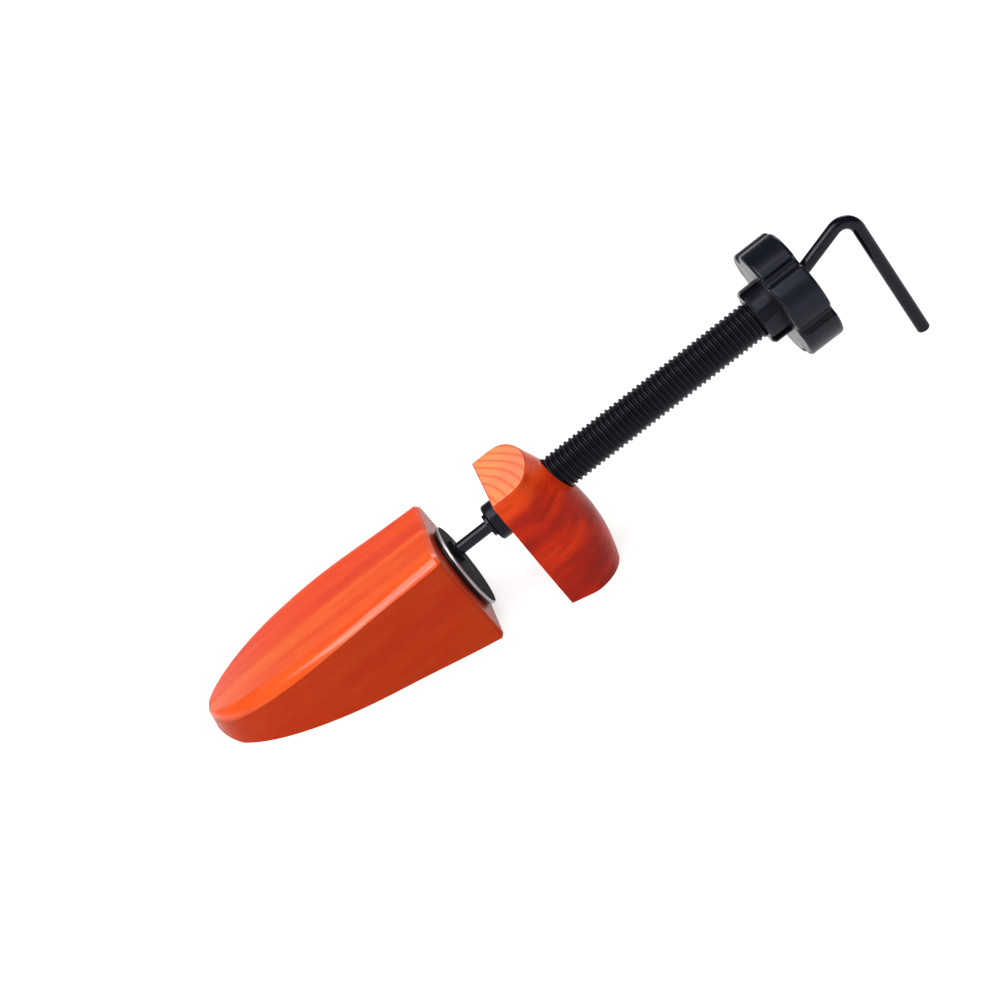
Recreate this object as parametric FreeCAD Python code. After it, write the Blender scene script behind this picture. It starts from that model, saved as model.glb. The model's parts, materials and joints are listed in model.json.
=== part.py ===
import FreeCAD, Part
import math
import os

from FreeCAD import Vector

# Two-way shoe stretcher: a split wooden toe block, a wooden heel block on a threaded tube and a hooked rod.
# The tube axis climbs from the toe block to the hook. Most pieces are drawn in the axis frame: u runs along
# the tube towards the hook, y runs across to the wearer's right and w stands square to both. u is zero at the
# toe block's rear face and w is zero on the axis. Both blocks stand on the plane z = 0. Lengths are in
# millimetres.

# Fits and tools
RUN_GAP = 0.1  # radial clearance of a turning or sliding fit
SEAT_GAP = 0.02  # clearance of a pressed or screwed seat
SIDE_GAP = 0.3  # clearance between faces that pass each other
OVERRUN = 60.0  # how far a cutting tool runs past what it cuts
HALF_SPACE = 400.0  # size of the blocks that trim a whole side away
TOUCH = 0.01  # points closer than this count as lying in one plane
ALONG_SHARE = 0.5  # an edge runs lengthwise when more than this share of its direction is along u

# Axis
TILT = 15.0  # climb of the tube above the sole plane, degrees
AXIS_HEIGHT = 31.0  # axis above the sole plane at the toe block's rear face

# Toe block
TOE_LENGTH = 125.0  # from the rear face, at the axis, to the toe tip
TOE_REAR_WIDTH = 64.0
TOE_BALL_WIDTH = 75.0
TOE_BALL_AHEAD = 58.0  # widest place ahead of the rear face
TOE_TOP_RISE = 18.3  # top face above the axis
TOE_TIP_DROP = 4.0  # fall of the top below its straight line at the tip
TOE_TIP_LIFT = 5.0  # rise of the underside at the tip
TOE_ROUND_DROP = 3.6  # height of the rounded top edge
TOE_ROUND_INSET = 6.5  # width of the rounded top edge
TOE_REAR_EDGE = 1.6  # bevel around the rear face
PARTING_GAP = 0.2  # between the two closed halves
TOE_BODY_SHARES = (0.0, 0.5)  # loft stations from the rear face to the ball
TOE_NOSE_SHARES = (0.0, 0.3, 0.55, 0.76, 0.9, 0.97, 0.992)  # loft stations from the ball to the tip
TOE_NOSE_POWER = 2.3  # fullness of the toe outline

# Heel block
HEEL_FRONT = 31.0  # front face on the axis, heel block fully home
HEEL_TRIM = 3.0  # stock planed off the front
HEEL_TOP_RISE = 17.5  # top face above the axis
HEEL_SIDE_LENGTH = 9.0  # straight stretch of the sides
HEEL_CORNER_RADIUS = 10.0  # where the sides turn into the round back
HEEL_LENGTH_TOP = 22.5
HEEL_LENGTH_MAX = 32.5
HEEL_WIDTH_TOP = 53.5
HEEL_WIDTH_MAX = 58.0
HEEL_BULGE_SHARE = 0.58  # how far down the block is longest and widest
HEEL_LEVEL_SHARES = (0.0, 0.25, 0.5, 0.75, 1.0)  # loft levels from the top face down
HEEL_TOP_EDGE = 0.8  # rounding of the top edge

# Drive rod and hook
ROD_DIAMETER = 6.0
ROD_TIP = 2.0  # rod standing past its clip
ROD_TIP_BEVEL = 0.8
HOOK_KINK = 17.0  # first bend, away from the arm, degrees
HOOK_KINK_RADIUS = 14.0
HOOK_STEM = 34.0  # straight stretch between the two bends
HOOK_BEND_RADIUS = 7.0
HOOK_ARM = 58.0  # straight arm
HOOK_END_ROUND = 1.4
RING_GROOVE_DEPTH = 0.6  # grooves for the clip and the collars
CLIP_THICKNESS = 1.2
CLIP_OUTER = 10.0
COLLAR_LENGTH = 1.6
COLLAR_OUTER = 11.0
RING_MOUTH = 4.2  # opening that lets a clip or collar on to the rod

# Carrier between the toe halves
FLANGE_THICKNESS = 1.7
FLANGE_DIAMETER = 40.0
FLANGE_EDGE = 0.4
PLATE_THICKNESS = 1.4
PLATE_DIAMETER = 42.0
PLATE_DROP = 8.0  # flange and plate centre below the axis
PLATE_EDGE = 0.3
PLATE_SCREW = 2.2
PLATE_SCREW_HEAD = 3.6
PLATE_SCREW_HEAD_DEPTH = 1.1
PLATE_SCREW_LENGTH = 6.0
PLATE_SCREW_OUT = 4.0  # plate screws to each side of the middle
PLATE_SCREW_DROP = 12.5  # plate screws below the axis
NOSE_LENGTH = 25.0
NOSE_WIDTH = 14.0
NOSE_TOP = 7.0  # above the axis
NOSE_BOTTOM = 17.0  # below the axis
NOSE_EDGE = 1.5
BUSH_OUTER = 10.0
BUSH_LENGTH = 14.0
GUIDE_DIAMETER = 6.0
GUIDE_OUT = 4.0  # guide rod standing out of its bush
GUIDE_EDGE = 0.5
GUIDE_DROP = 11.0  # guide rods below the axis
GUIDE_AHEAD = 7.0  # rear guide rod ahead of the rear face
GUIDE_SPACING = 12.0
GUIDE_BUSH_OUTER = 9.0
GUIDE_BUSH_LENGTH = 15.0
GUIDE_END_ROOM = 2.5  # blind hole past the rod's end

# Spreading wedge and its ramps
WEDGE_LENGTH = 18.0
WEDGE_SLOPE_SHARE = 0.45  # spread of one half per length of wedge travel
WEDGE_HEIGHT = 14.0
WEDGE_TRAVEL = 16.0
WEDGE_STOP_GAP = 2.0  # nose to wedge at full spread
NUT_ACROSS = 10.0
NUT_THICKNESS = 5.0
RAIL_NECK = 3.0  # T-rail neck, across
RAIL_HEAD = 6.0  # T-rail head, across
RAIL_NECK_DEPTH = 1.4
RAIL_HEAD_DEPTH = 1.5
RAMP_GAP = 0.2  # between wedge and ramp
RAMP_ROD_GAP = 0.5  # between the ramps' rear ends and the rod
RAMP_THICKNESS = 5.0
RAMP_LIP = 0.6  # ramp standing past the wedge below and past the screw heads above
RAMP_SCREW = 2.6
RAMP_SCREW_HEAD = 4.2
RAMP_SCREW_HEAD_DEPTH = 1.5
RAMP_SCREW_LENGTH = 13.0
RAMP_SCREW_SHARES = (0.2, 0.8)  # screw places along the ramp

# Threaded tube and knob
TUBE_DIAMETER = 18.0
TUBE_BORE = 9.0
TUBE_OUT = 7.5  # tube standing out of the heel block's front
TUBE_EDGE = 0.8
TUBE_SEAT = 8.3  # length of tube inside the knob
FRONT_BUSH_LENGTH = 14.0
REAR_BUSH_LENGTH = 6.0  # length of the rear bush inside the tube
KNOB_FRONT = 176.5  # front face of the knob's disc on the axis
KNOB_THICKNESS = 17.5
KNOB_DIAMETER = 55.5
KNOB_LOBES = 6
KNOB_LOBE_RADIUS = 17.0
KNOB_NOTCH_RADIUS = 2.8
KNOB_NOTCH_DEPTH = 4.2
KNOB_NOTCH_PHASE = 43.0  # first notch above the near side, degrees
KNOB_NOTCH_EDGE = 0.8
KNOB_EDGE = 1.6
KNOB_WEB = 3.3  # wall behind the tube's end
KNOB_RECESS_DIAMETER = 30.0
KNOB_RECESS_EDGE = 1.5
HUB_DIAMETER = 27.5
HUB_LENGTH = 8.8
HUB_EDGE = 1.2
HUB_GROOVE_WIDTH = 5.0
HUB_GROOVE_DEPTH = 2.3
HUB_GROOVE_EDGE = 0.5
HUB_GROOVE_PHASE = 20.0  # first hub groove above the near side, degrees
KNOB_SCREW = 4.0  # grub screw diameter
KNOB_SCREW_BITE = 2.0  # depth of the grub screws in the tube wall
KNOB_SCREW_SUNK = 0.3
KNOB_SCREW_GROOVES = (2, 4)  # hub grooves that hold a grub screw

# Heel nut
HEEL_NUT_OUTER = 23.0
HEEL_NUT_LENGTH = 20.0
HEEL_NUT_FLANGE = 32.0
HEEL_NUT_FLANGE_THICKNESS = 3.0
HEEL_NUT_SCREWS = 3
HEEL_NUT_SCREW = 2.2
HEEL_NUT_SCREW_HEAD = 3.6
HEEL_NUT_SCREW_HEAD_DEPTH = 1.4
HEEL_NUT_SCREW_LENGTH = 11.0

# Sizes that follow from those above
TAN_TILT = math.tan(math.radians(TILT))
COS_TILT = math.cos(math.radians(TILT))
TUBE_FRONT = HEEL_FRONT - TUBE_OUT
FLANGE_FRONT = SIDE_GAP
FLANGE_REAR = FLANGE_FRONT + FLANGE_THICKNESS
PLATE_REAR = FLANGE_REAR + PLATE_THICKNESS
HUB_FRONT = KNOB_FRONT - HUB_LENGTH
KNOB_REAR = KNOB_FRONT + KNOB_THICKNESS
TUBE_REAR = HUB_FRONT + TUBE_SEAT
RECESS_FLOOR = TUBE_REAR + KNOB_WEB
HOOK_START = RECESS_FLOOR + SIDE_GAP
WEDGE_REAR = -(NOSE_LENGTH + WEDGE_STOP_GAP + WEDGE_TRAVEL)
WEDGE_FRONT = WEDGE_REAR - WEDGE_LENGTH
TOE_SPREAD = WEDGE_TRAVEL * WEDGE_SLOPE_SHARE
WEDGE_REAR_WIDTH = (ROD_DIAMETER / 2 + RAMP_ROD_GAP - RAMP_GAP + TOE_SPREAD) * 2
WEDGE_FRONT_WIDTH = WEDGE_REAR_WIDTH + WEDGE_LENGTH * WEDGE_SLOPE_SHARE * 2
RAMP_REAR = WEDGE_REAR + WEDGE_TRAVEL
RAMP_FRONT = WEDGE_FRONT
RAMP_BOTTOM = WEDGE_HEIGHT / 2 + RAMP_LIP
RAMP_SCREW_RISE = WEDGE_HEIGHT / 2 + RAMP_SCREW_HEAD / 2
RAMP_TOP = RAMP_SCREW_RISE + RAMP_SCREW_HEAD / 2 + RAMP_LIP
RAMP_ANGLE = math.degrees(math.atan(WEDGE_SLOPE_SHARE))
COS_RAMP = math.cos(math.radians(RAMP_ANGLE))
CLIP_FRONT = WEDGE_FRONT - SIDE_GAP - CLIP_THICKNESS
CARRIER_COLLAR_FRONT = PLATE_REAR + RUN_GAP
FRONT_COLLAR_FRONT = TUBE_FRONT - RUN_GAP - COLLAR_LENGTH
ROD_FRONT = CLIP_FRONT - ROD_TIP
HEEL_NUT_SCREW_CIRCLE = (HEEL_NUT_OUTER + HEEL_NUT_FLANGE) / 2
GUIDE_LENGTH = NOSE_WIDTH + (SIDE_GAP + GUIDE_BUSH_LENGTH + GUIDE_OUT) * 2
SIDES = {"left": -1, "right": 1}

# Directions
ALONG = Vector(1, 0, 0)
ACROSS = Vector(0, 1, 0)
UP = Vector(0, 0, 1)
AXIS_POINT = Vector(0, 0, AXIS_HEIGHT)


# Drawing helpers
def to_world(shape):
    """Tilts a shape from the axis frame and lifts it to the axis height."""
    moved = shape.copy()
    moved.rotate(Vector(), ACROSS, -TILT)
    moved.translate(AXIS_POINT)
    return moved


def to_axis(shape):
    """The reverse: from the standing block to the axis frame."""
    moved = shape.copy()
    moved.translate(AXIS_POINT * -1)
    moved.rotate(Vector(), ACROSS, TILT)
    return moved


def block(u0, u1, y0, y1, w0, w1):
    return Part.makeBox(u1 - u0, y1 - y0, w1 - w0, Vector(u0, y0, w0))


def bar(u0, u1, diameter, w=0):
    """A round bar along u, at height w."""
    return Part.makeCylinder(diameter / 2, u1 - u0, Vector(u0, 0, w), ALONG)


def cross_bar(y0, y1, diameter, u, w):
    """A round bar across, from y0 to a larger y1."""
    return Part.makeCylinder(diameter / 2, y1 - y0, Vector(u, y0, w), ACROSS)


def ring(u0, u1, outer, inner):
    """A round tube along u."""
    return bar(u0, u1, outer).cut(bar(u0 - OVERRUN, u1 + OVERRUN, inner))


def turned(shape, degrees):
    """A copy turned about the tube axis; a turn of zero is the near side, and it climbs from there."""
    copy = shape.copy()
    copy.rotate(Vector(), ALONG, -degrees)
    return copy


def edges_at(shape, u, least_radius, centre_w=0):
    """Edges that lie in the plane at u, wholly outside a radius about the line at height centre_w."""
    found = []
    for edge in shape.Edges:
        points = edge.discretize(9)
        level = all(abs(p.x - u) < TOUCH for p in points)
        if level and all(math.hypot(p.y, p.z - centre_w) > least_radius for p in points):
            found.append(edge)
    return found


def lengthwise_edges(shape):
    """Edges that run along u."""
    return [e for e in shape.Edges if abs(e.tangentAt(e.FirstParameter).x) > ALONG_SHARE]


def countersunk_screw(diameter, head, head_depth, length):
    """A countersunk screw whose head is flush at the origin and whose shank runs along u."""
    cone = Part.makeCone(head / 2, diameter / 2, head_depth, Vector(), ALONG)
    return cone.fuse(bar(0, length, diameter)).removeSplitter()


def countersunk_hole(diameter, head, head_depth, length):
    """The room that such a screw needs."""
    wider = 2 * SEAT_GAP
    return countersunk_screw(diameter + wider, head + wider, head_depth, length + SEAT_GAP)


# Toe block
def toe_half_width(x):
    """Half the plan width of the toe block at x."""
    if x >= -TOE_BALL_AHEAD:
        share = min(max(-x / TOE_BALL_AHEAD, 0), 1)
        blend = share * share * (3 - 2 * share)
        return (TOE_REAR_WIDTH + (TOE_BALL_WIDTH - TOE_REAR_WIDTH) * blend) / 2
    return TOE_BALL_WIDTH / 2 * math.sqrt(1 - toe_nose_share(x) ** TOE_NOSE_POWER)


def toe_nose_share(x):
    """Zero up to the ball, then growing to one at the tip."""
    return max(0, (-TOE_BALL_AHEAD - x) / (TOE_LENGTH - TOE_BALL_AHEAD))


def toe_section(x):
    """Outline across the block: flat underside, straight sides, and a round edge that runs into the top."""
    nose = toe_nose_share(x)
    half = toe_half_width(x)
    top = AXIS_HEIGHT + x * TAN_TILT + TOE_TOP_RISE / COS_TILT - TOE_TIP_DROP * nose**3
    low = (2 * nose**4 - 1) * TOE_TIP_LIFT
    slim = half * 2 / TOE_BALL_WIDTH if nose > 0 else 1
    drop = TOE_ROUND_DROP * (1 + nose) * math.sqrt(slim)
    inset = TOE_ROUND_INSET * (1 + nose / 2) * slim
    radius = (inset**2 + drop**2) / (drop * 2)
    half_sweep = math.asin(min(1, inset / radius)) / 2
    shoulder = half - inset
    mid_y = shoulder + radius * math.sin(half_sweep)
    mid_z = top - radius + radius * math.cos(half_sweep)
    left_low, right_low = Vector(x, -half, low), Vector(x, half, low)
    left_edge, right_edge = Vector(x, -half, top - drop), Vector(x, half, top - drop)
    left_top, right_top = Vector(x, -shoulder, top), Vector(x, shoulder, top)
    return Part.Wire([
        Part.LineSegment(left_low, left_edge).toShape(),
        Part.Arc(left_edge, Vector(x, -mid_y, mid_z), left_top).toShape(),
        Part.LineSegment(left_top, right_top).toShape(),
        Part.Arc(right_top, Vector(x, mid_y, mid_z), right_edge).toShape(),
        Part.LineSegment(right_edge, right_low).toShape(),
        Part.LineSegment(right_low, left_low).toShape(),
    ])


def below_soles():
    """Everything under the plane that the blocks stand on."""
    corner = Vector(-HALF_SPACE, -HALF_SPACE, -HALF_SPACE)
    return Part.makeBox(HALF_SPACE * 2, HALF_SPACE * 2, HALF_SPACE, corner)


def whole_toe_block():
    """The toe block before it is split, with its bevelled rear face square to the axis."""
    behind = AXIS_HEIGHT * TAN_TILT + TOE_ROUND_INSET
    stations = [behind] + [-share * TOE_BALL_AHEAD for share in TOE_BODY_SHARES]
    stations += [-TOE_BALL_AHEAD - share * (TOE_LENGTH - TOE_BALL_AHEAD) for share in TOE_NOSE_SHARES]
    body = Part.makeLoft([toe_section(x) for x in stations], True, False).cut(below_soles())
    body = to_axis(body).cut(block(0, HALF_SPACE, -HALF_SPACE, HALF_SPACE, -HALF_SPACE, HALF_SPACE))
    return to_world(body.makeChamfer(TOE_REAR_EDGE, edges_at(body, 0, 0)))


def guide_places():
    """Where the guide rods cross: u and w of each."""
    return [(-GUIDE_AHEAD - i * GUIDE_SPACING, -GUIDE_DROP) for i in range(2)]


def ramp_block(along0, along1, out0, out1, w0, w1):
    """A box laid on the right-hand slope of the wedge: along it towards the rear, and out from it."""
    return on_slope(block(along0, along1, out0, out1, w0, w1))


def on_slope(shape):
    """Lays a shape on the right-hand slope of the wedge, from the slope's rear end."""
    laid = shape.copy()
    laid.rotate(Vector(), UP, -RAMP_ANGLE)
    laid.translate(Vector(WEDGE_REAR, WEDGE_REAR_WIDTH / 2, 0))
    return laid


def on_side(shape, side):
    """The shape itself on the right, its mirror image on the left."""
    return shape if side > 0 else shape.mirror(Vector(), ACROSS)


def ramp_screw_place(tool, share):
    """Puts a screw or its hole square to the ramp's face, at a share of the ramp's length."""
    placed = tool.copy()
    placed.rotate(Vector(), UP, 90)
    u = RAMP_FRONT + share * (RAMP_REAR - RAMP_FRONT)
    placed.translate(Vector((u - WEDGE_REAR) / COS_RAMP, RAMP_GAP, RAMP_SCREW_RISE))
    return on_slope(placed)


def ramp_screw_holes():
    hole = countersunk_hole(RAMP_SCREW, RAMP_SCREW_HEAD, RAMP_SCREW_HEAD_DEPTH, RAMP_SCREW_LENGTH)
    return [ramp_screw_place(hole, share) for share in RAMP_SCREW_SHARES]


def toe_pockets():
    """What is cut out of the right half for the nose, the wedge, its ramp, the rod's end and the guides."""
    seat = RAMP_GAP + RAMP_THICKNESS
    nose_half = NOSE_WIDTH / 2 + SIDE_GAP
    nose_front = RAMP_REAR - SIDE_GAP
    nose_room = block(nose_front, OVERRUN, -OVERRUN, nose_half, -NOSE_BOTTOM - SIDE_GAP, NOSE_TOP + SIDE_GAP)
    slope = ramp_block(-OVERRUN, OVERRUN, -OVERRUN, seat, -RAMP_BOTTOM - SIDE_GAP, RAMP_TOP + SIDE_GAP)
    wedge_room = slope.common(block(
        RAMP_FRONT - SIDE_GAP, RAMP_REAR + SIDE_GAP, -OVERRUN, OVERRUN, -OVERRUN, OVERRUN))
    tip_half = CLIP_OUTER / 2 + SIDE_GAP
    tip_room = block(ROD_FRONT - SIDE_GAP, RAMP_FRONT, -OVERRUN, tip_half, -tip_half, tip_half)
    pockets = [nose_room, wedge_room, tip_room] + ramp_screw_holes()
    for u, w in guide_places():
        pockets.append(cross_bar(0, GUIDE_LENGTH / 2 + GUIDE_END_ROOM, GUIDE_DIAMETER + SIDE_GAP * 2, u, w))
        bush_end = nose_half + GUIDE_BUSH_LENGTH
        pockets.append(cross_bar(0, bush_end, GUIDE_BUSH_OUTER + SEAT_GAP * 2, u, w))
    return pockets


def toe_block(side):
    """One wooden half, hollowed for the mechanism."""
    half_room = Part.makeBox(
        HALF_SPACE * 2, HALF_SPACE, HALF_SPACE, Vector(-HALF_SPACE, PARTING_GAP / 2, 0))
    half = whole_toe_block().common(on_side(half_room, side))
    return half.cut([to_world(on_side(pocket, side)) for pocket in toe_pockets()])


def ramp(side):
    """A sloping steel channel with a T-slot for the wedge's rail."""
    plate = ramp_block(-OVERRUN, OVERRUN, RAMP_GAP, RAMP_GAP + RAMP_THICKNESS, -RAMP_BOTTOM, RAMP_TOP)
    plate = plate.common(block(RAMP_FRONT, RAMP_REAR, -OVERRUN, OVERRUN, -OVERRUN, OVERRUN))
    neck_half = RAIL_NECK / 2 + RAMP_GAP
    head_half = RAIL_HEAD / 2 + RAMP_GAP
    head_end = RAIL_NECK_DEPTH + RAIL_HEAD_DEPTH + RAMP_GAP
    slot = [
        ramp_block(-OVERRUN, OVERRUN, 0, RAIL_NECK_DEPTH, -neck_half, neck_half),
        ramp_block(-OVERRUN, OVERRUN, RAIL_NECK_DEPTH - RAMP_GAP, head_end, -head_half, head_half),
    ]
    return to_world(on_side(plate.cut(slot + ramp_screw_holes()), side))


def ramp_screws(side):
    screw = countersunk_screw(RAMP_SCREW, RAMP_SCREW_HEAD, RAMP_SCREW_HEAD_DEPTH, RAMP_SCREW_LENGTH)
    placed = [on_side(ramp_screw_place(screw, share), side) for share in RAMP_SCREW_SHARES]
    return to_world(Part.makeCompound(placed))


def guide_bushes(side):
    """Sleeves in the wood that slide on the guide rods."""
    start = NOSE_WIDTH / 2 + SIDE_GAP
    sleeves = []
    for u, w in guide_places():
        bore = cross_bar(-OVERRUN, OVERRUN, GUIDE_DIAMETER + RUN_GAP * 2, u, w)
        sleeve = cross_bar(start, start + GUIDE_BUSH_LENGTH, GUIDE_BUSH_OUTER, u, w).cut(bore)
        sleeves.append(on_side(sleeve, side))
    return to_world(Part.makeCompound(sleeves))


# Carrier
def nose():
    """The tongue between the toe halves."""
    half = NOSE_WIDTH / 2
    body = block(-NOSE_LENGTH, FLANGE_REAR, -half, half, -NOSE_BOTTOM, NOSE_TOP)
    return body.makeFillet(NOSE_EDGE, lengthwise_edges(body))


def plate_screw_places(tool):
    """Puts a screw or its hole at both places in the plate, head to the rear."""
    placed = []
    for side in SIDES.values():
        copy = tool.copy()
        copy.rotate(Vector(), UP, 180)
        copy.translate(Vector(PLATE_REAR, side * PLATE_SCREW_OUT, -PLATE_SCREW_DROP))
        placed.append(copy)
    return placed


def plate_screw_holes():
    return plate_screw_places(
        countersunk_hole(PLATE_SCREW, PLATE_SCREW_HEAD, PLATE_SCREW_HEAD_DEPTH, PLATE_SCREW_LENGTH))


def toe_carrier():
    """A moulded flange behind the toe block, with a nose that carries the guide rods and the rod's bush."""
    flange = bar(FLANGE_FRONT, FLANGE_REAR, FLANGE_DIAMETER, -PLATE_DROP)
    flange = flange.makeChamfer(FLANGE_EDGE, edges_at(flange, FLANGE_FRONT, FLANGE_EDGE, -PLATE_DROP))
    body = flange.fuse(nose())
    cuts = plate_screw_holes() + [
        bar(-OVERRUN, OVERRUN, ROD_DIAMETER + SIDE_GAP * 2),
        bar(FLANGE_REAR - BUSH_LENGTH, OVERRUN, BUSH_OUTER + SEAT_GAP * 2),
    ]
    for u, w in guide_places():
        cuts.append(cross_bar(-OVERRUN, OVERRUN, GUIDE_DIAMETER + SEAT_GAP * 2, u, w))
    return to_world(body.cut(cuts))


def thrust_plate():
    """A steel plate on the flange's rear face that takes the thrust of the rod's collar."""
    plate = bar(FLANGE_REAR, PLATE_REAR, PLATE_DIAMETER, -PLATE_DROP)
    rims = edges_at(plate, FLANGE_REAR, PLATE_EDGE, -PLATE_DROP)
    rims += edges_at(plate, PLATE_REAR, PLATE_EDGE, -PLATE_DROP)
    bore = bar(-OVERRUN, OVERRUN, ROD_DIAMETER + SIDE_GAP * 2)
    return to_world(plate.makeChamfer(PLATE_EDGE, rims).cut(plate_screw_holes() + [bore]))


def plate_screws():
    screw = countersunk_screw(PLATE_SCREW, PLATE_SCREW_HEAD, PLATE_SCREW_HEAD_DEPTH, PLATE_SCREW_LENGTH)
    return to_world(Part.makeCompound(plate_screw_places(screw)))


def guide_rods():
    rods = []
    for u, w in guide_places():
        rod = cross_bar(-GUIDE_LENGTH / 2, GUIDE_LENGTH / 2, GUIDE_DIAMETER, u, w)
        ends = [e for e in rod.Edges if e.isClosed()]
        rods.append(rod.makeChamfer(GUIDE_EDGE, ends))
    return to_world(Part.makeCompound(rods))


def rod_bush():
    return to_world(ring(FLANGE_REAR - BUSH_LENGTH, FLANGE_REAR, BUSH_OUTER, ROD_DIAMETER + RUN_GAP * 2))


# Wedge
def spreader_wedge():
    """A wedge, narrow to the rear, with a T-rail on each slope and a seat for its nut."""
    front, rear = WEDGE_FRONT_WIDTH / 2, WEDGE_REAR_WIDTH / 2
    low = -WEDGE_HEIGHT / 2
    corners = [(WEDGE_FRONT, -front), (WEDGE_FRONT, front), (WEDGE_REAR, rear), (WEDGE_REAR, -rear)]
    points = [Vector(u, y, low) for u, y in corners]
    body = Part.Face(Part.makePolygon(points + points[:1])).extrude(UP * WEDGE_HEIGHT)
    neck = ramp_block(-OVERRUN, OVERRUN, -RAIL_NECK_DEPTH, RAIL_NECK_DEPTH, -RAIL_NECK / 2, RAIL_NECK / 2)
    head_end = RAIL_NECK_DEPTH + RAIL_HEAD_DEPTH
    head = ramp_block(-OVERRUN, OVERRUN, RAIL_NECK_DEPTH, head_end, -RAIL_HEAD / 2, RAIL_HEAD / 2)
    trim = block(WEDGE_FRONT, WEDGE_REAR, -OVERRUN, OVERRUN, -OVERRUN, OVERRUN)
    rail = neck.fuse(head).common(trim)
    body = body.fuse([on_side(rail, side) for side in SIDES.values()]).removeSplitter()
    nut_half = NUT_ACROSS / 2 + SEAT_GAP
    nut_rear = WEDGE_FRONT + NUT_THICKNESS
    seat = block(WEDGE_FRONT - OVERRUN, nut_rear, -nut_half, nut_half, -nut_half, nut_half)
    return to_world(body.cut([seat, bar(WEDGE_FRONT - OVERRUN, 0, ROD_DIAMETER + SIDE_GAP * 2)]))


def wedge_nut():
    half = NUT_ACROSS / 2
    body = block(WEDGE_FRONT, WEDGE_FRONT + NUT_THICKNESS, -half, half, -half, half)
    bore = bar(WEDGE_FRONT - OVERRUN, 0, ROD_DIAMETER + RUN_GAP * 2)
    return to_world(body.cut(bore))


# Drive rod
def bent_rod(start, steps):
    """Sweeps the rod's round section along straight lengths and bends in the plane y = 0."""
    face = Part.Face(Part.Wire(Part.makeCircle(ROD_DIAMETER / 2, Vector(start, 0, 0), ALONG)))
    heading = Vector(ALONG)
    here = Vector(start, 0, 0)
    pieces = []
    for kind, size, degrees in steps:
        if kind == "straight":
            pieces.append(face.extrude(heading * size))
            face.translate(heading * size)
            here = here + heading * size
            continue
        upward = heading.cross(ACROSS)
        centre = here + upward * math.copysign(size, degrees)
        pieces.append(face.revolve(centre, ACROSS, -degrees))
        turn = FreeCAD.Rotation(ACROSS, -degrees)
        face.rotate(centre, ACROSS, -degrees)
        here = centre + turn.multVec(here - centre)
        heading = turn.multVec(heading)
    return pieces


def ring_groove(front, length):
    """What is cut out of the rod for a clip or collar."""
    return ring(front, front + length, ROD_DIAMETER + OVERRUN, ROD_DIAMETER - RING_GROOVE_DEPTH * 2)


def drive_rod():
    """A steel rod that turns the wedge nut, bent behind the knob to a hook for the hand."""
    shaft = bar(ROD_FRONT, HOOK_START, ROD_DIAMETER)
    tip = edges_at(shaft, ROD_FRONT, 0)
    shaft = shaft.makeChamfer(ROD_TIP_BEVEL, tip)
    grooves = [
        ring_groove(CLIP_FRONT, CLIP_THICKNESS),
        ring_groove(CARRIER_COLLAR_FRONT, COLLAR_LENGTH),
        ring_groove(FRONT_COLLAR_FRONT, COLLAR_LENGTH),
    ]
    hook = bent_rod(HOOK_START, [
        ("bend", HOOK_KINK_RADIUS, HOOK_KINK),
        ("straight", HOOK_STEM, 0),
        ("bend", HOOK_BEND_RADIUS, -90 - HOOK_KINK),
        ("straight", HOOK_ARM, 0),
    ])
    rod = shaft.cut(grooves).fuse(hook).removeSplitter()
    low = min(v.Z for v in rod.Vertexes)
    end = [e for e in rod.Edges if all(abs(p.z - low) < TOUCH for p in e.discretize(5))]
    return to_world(rod.makeFillet(HOOK_END_ROUND, end))


def sprung_ring(front, length, outer):
    """An open ring sprung into its groove in the rod."""
    inner = ROD_DIAMETER - RING_GROOVE_DEPTH * 2 + SEAT_GAP * 2
    body = ring(front + SEAT_GAP, front + length - SEAT_GAP, outer, inner)
    mouth = block(front - OVERRUN, front + OVERRUN, -RING_MOUTH / 2, RING_MOUTH / 2, -OVERRUN, 0)
    return to_world(body.cut(mouth))


# Threaded tube and knob
def knob_screw_pins(diameter, outer):
    """Round pins through the hub, square to the axis, from the tube wall out to a radius."""
    inner = TUBE_DIAMETER / 2 - KNOB_SCREW_BITE
    pins = []
    for i in KNOB_SCREW_GROOVES:
        foot = Vector(HUB_FRONT + HUB_LENGTH / 2, -inner, 0)
        pin = Part.makeCylinder(diameter / 2, outer - inner, foot, ACROSS * -1)
        pins.append(turned(pin, HUB_GROOVE_PHASE + i * 360 / KNOB_LOBES))
    return pins


def threaded_tube():
    """The tube at its thread's outside diameter."""
    body = ring(TUBE_FRONT, TUBE_REAR, TUBE_DIAMETER, TUBE_BORE)
    body = body.makeChamfer(TUBE_EDGE, edges_at(body, TUBE_FRONT, TUBE_BORE / 2 + TUBE_EDGE))
    return to_world(body.cut(knob_screw_pins(KNOB_SCREW + SEAT_GAP * 2, OVERRUN)))


def front_bush():
    rear = TUBE_FRONT + FRONT_BUSH_LENGTH
    return to_world(ring(TUBE_FRONT, rear, TUBE_BORE - SEAT_GAP * 2, ROD_DIAMETER + RUN_GAP * 2))


def rear_bush():
    front = TUBE_REAR - REAR_BUSH_LENGTH
    return to_world(ring(front, RECESS_FLOOR, TUBE_BORE - SEAT_GAP * 2, ROD_DIAMETER + RUN_GAP * 2))


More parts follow.
